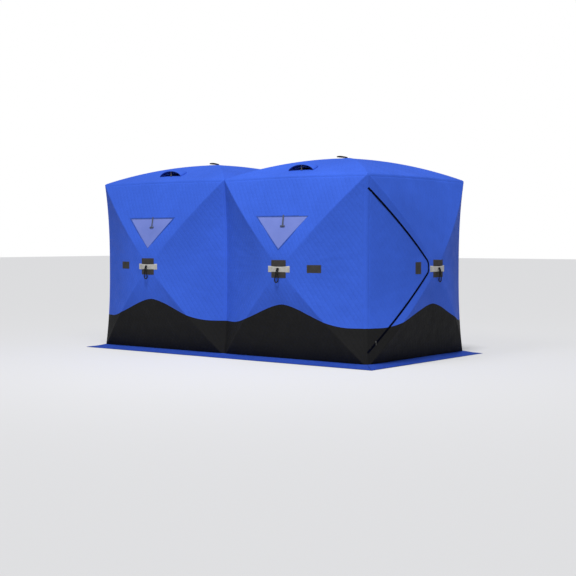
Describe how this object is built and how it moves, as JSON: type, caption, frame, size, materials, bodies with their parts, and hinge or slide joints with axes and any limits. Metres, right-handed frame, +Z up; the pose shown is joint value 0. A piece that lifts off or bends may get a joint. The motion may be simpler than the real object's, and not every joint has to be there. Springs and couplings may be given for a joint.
{
  "type": "pop-up ice fishing hut",
  "caption": "Two-bay pop-up hub shelter for ice fishing: insulated fabric walls and roof pushed out by sprung poles, zipped end door, windows, roof vents and a ground skirt.",
  "frame": {"origin": "on the ground, at the centre of the plan", "axes": "+Z up, X along the length with the door wall at +X, the front wall faces -Y"},
  "size_m": [4.067, 2.267, 2.1005],
  "materials": {
    "blue_fabric": "quilted polyester shell over thermal wadding, satin sheen",
    "black_fabric": "coated heavy polyester lower band, matt",
    "skirt_fabric": "plain coated polyester, matt",
    "window_film": "tinted flexible film",
    "zipper": "woven zipper tape with coil teeth",
    "grey_webbing": "pale grey woven strap",
    "dark_patch": "dark grey reinforcing cloth and hook tape",
    "black_rope": "braided cord",
    "fibreglass": "black fibreglass rod",
    "black_plastic": "moulded nylon",
    "grey_plastic": "moulded grey plastic"
  },
  "bodies": {
    "shelter": {"front_wall_1": "blue_fabric", "front_wall_2": "blue_fabric", "back_wall_1": "blue_fabric", "back_wall_2": "blue_fabric", "left_wall": "blue_fabric", "door_wall": "blue_fabric", "roof_1": "blue_fabric", "roof_2": "blue_fabric", "front_band_1": "black_fabric", "front_band_2": "black_fabric", "back_band_1": "black_fabric", "back_band_2": "black_fabric", "left_band": "black_fabric", "door_wall_band": "black_fabric", "frame_tape": "zipper", "front_window_1": "window_film", "front_window_2": "window_film", "back_window_1": "window_film", "back_window_2": "window_film", "window_strips": "dark_patch", "vent_hood_1": "blue_fabric", "vent_hood_2": "blue_fabric", "vent_props": "grey_plastic", "hub_patches": "dark_patch", "hub_straps": "grey_webbing", "side_patches": "dark_patch", "front_loop_1": "black_rope", "front_loop_2": "black_rope", "back_loop_1": "black_rope", "back_loop_2": "black_rope", "left_loop": "black_rope", "door_wall_loop": "black_rope", "roof_loop_1": "black_rope", "roof_loop_2": "black_rope", "front_skirt": "skirt_fabric", "back_skirt": "skirt_fabric", "left_skirt": "skirt_fabric", "right_skirt": "skirt_fabric", "front_poles": "fibreglass", "back_poles": "fibreglass", "left_poles": "fibreglass", "door_wall_poles": "fibreglass", "roof_poles": "fibreglass", "wall_hubs": "black_plastic", "roof_hubs": "black_plastic", "top_corners": "black_plastic", "feet": "black_plastic"},
    "door": {"door_flap": "blue_fabric", "door_band": "black_fabric", "door_tape": "zipper", "zip_pull": "grey_plastic", "door_patch": "dark_patch"}
  },
  "joints": [
    {"name": "door_hinge", "type": "hinge", "parent": "shelter", "child": "door", "pos_m": [1.815, -0.832, 0.93], "axis": [0, 0, -1], "range_deg": [0, 120]}
  ]
}
